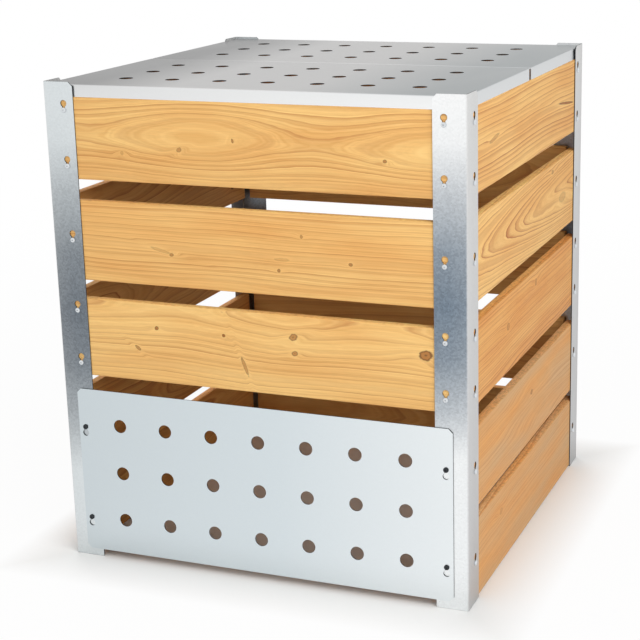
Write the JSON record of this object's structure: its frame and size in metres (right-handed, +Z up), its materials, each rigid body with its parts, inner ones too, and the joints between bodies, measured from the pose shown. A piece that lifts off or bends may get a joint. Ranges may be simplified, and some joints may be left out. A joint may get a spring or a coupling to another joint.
{
  "type": "compost bin",
  "caption": "Square slatted wooden compost bin with galvanised angle posts, boards hung in keyholes, a perforated lift-off lid in halves and a perforated removal panel.",
  "frame": {"origin": "on the ground at the middle of the bin's footprint", "axes": "+Z up, the front with the removal panel towards -Y, +X to the right seen from the front"},
  "size_m": [0.806, 0.8083, 0.9185],
  "materials": {
    "post_steel": "galvanised, spangled",
    "panel_steel": "galvanised, smooth",
    "lid_steel": "galvanised, rolled",
    "zinc_fasteners": "bright zinc plated",
    "larch": "planed softwood, untreated"
  },
  "bodies": {
    "frame": {"front_left_post": "post_steel", "front_right_post": "post_steel", "rear_left_post": "post_steel", "rear_right_post": "post_steel", "front_board_middle": "larch", "front_board_upper": "larch", "front_board_top": "larch", "left_board_bottom": "larch", "left_board_lower": "larch", "left_board_middle": "larch", "left_board_upper": "larch", "left_board_top": "larch", "right_board_bottom": "larch", "right_board_lower": "larch", "right_board_middle": "larch", "right_board_upper": "larch", "right_board_top": "larch", "rear_board_bottom": "larch", "rear_board_lower": "larch", "rear_board_middle": "larch", "rear_board_upper": "larch", "rear_board_top": "larch", "front_wall_screws": "zinc_fasteners", "left_wall_screws": "zinc_fasteners", "right_wall_screws": "zinc_fasteners", "rear_wall_screws": "zinc_fasteners", "panel_screws": "zinc_fasteners", "panel_nuts": "zinc_fasteners"},
    "front_lid": {"front_lid": "lid_steel"},
    "rear_lid": {"rear_lid": "lid_steel"},
    "removal_panel": {"removal_panel": "panel_steel"}
  },
  "joints": [
    {"name": "front_lid_lift", "type": "slide", "parent": "frame", "child": "front_lid", "axis": [0, 0, 1], "range_m": [0, 0.4]},
    {"name": "rear_lid_lift", "type": "slide", "parent": "frame", "child": "rear_lid", "axis": [0, 0, 1], "range_m": [0, 0.4]},
    {"name": "panel_unhook", "type": "slide", "parent": "frame", "child": "removal_panel", "axis": [0, 0, 1], "range_m": [0, 0.012]}
  ]
}
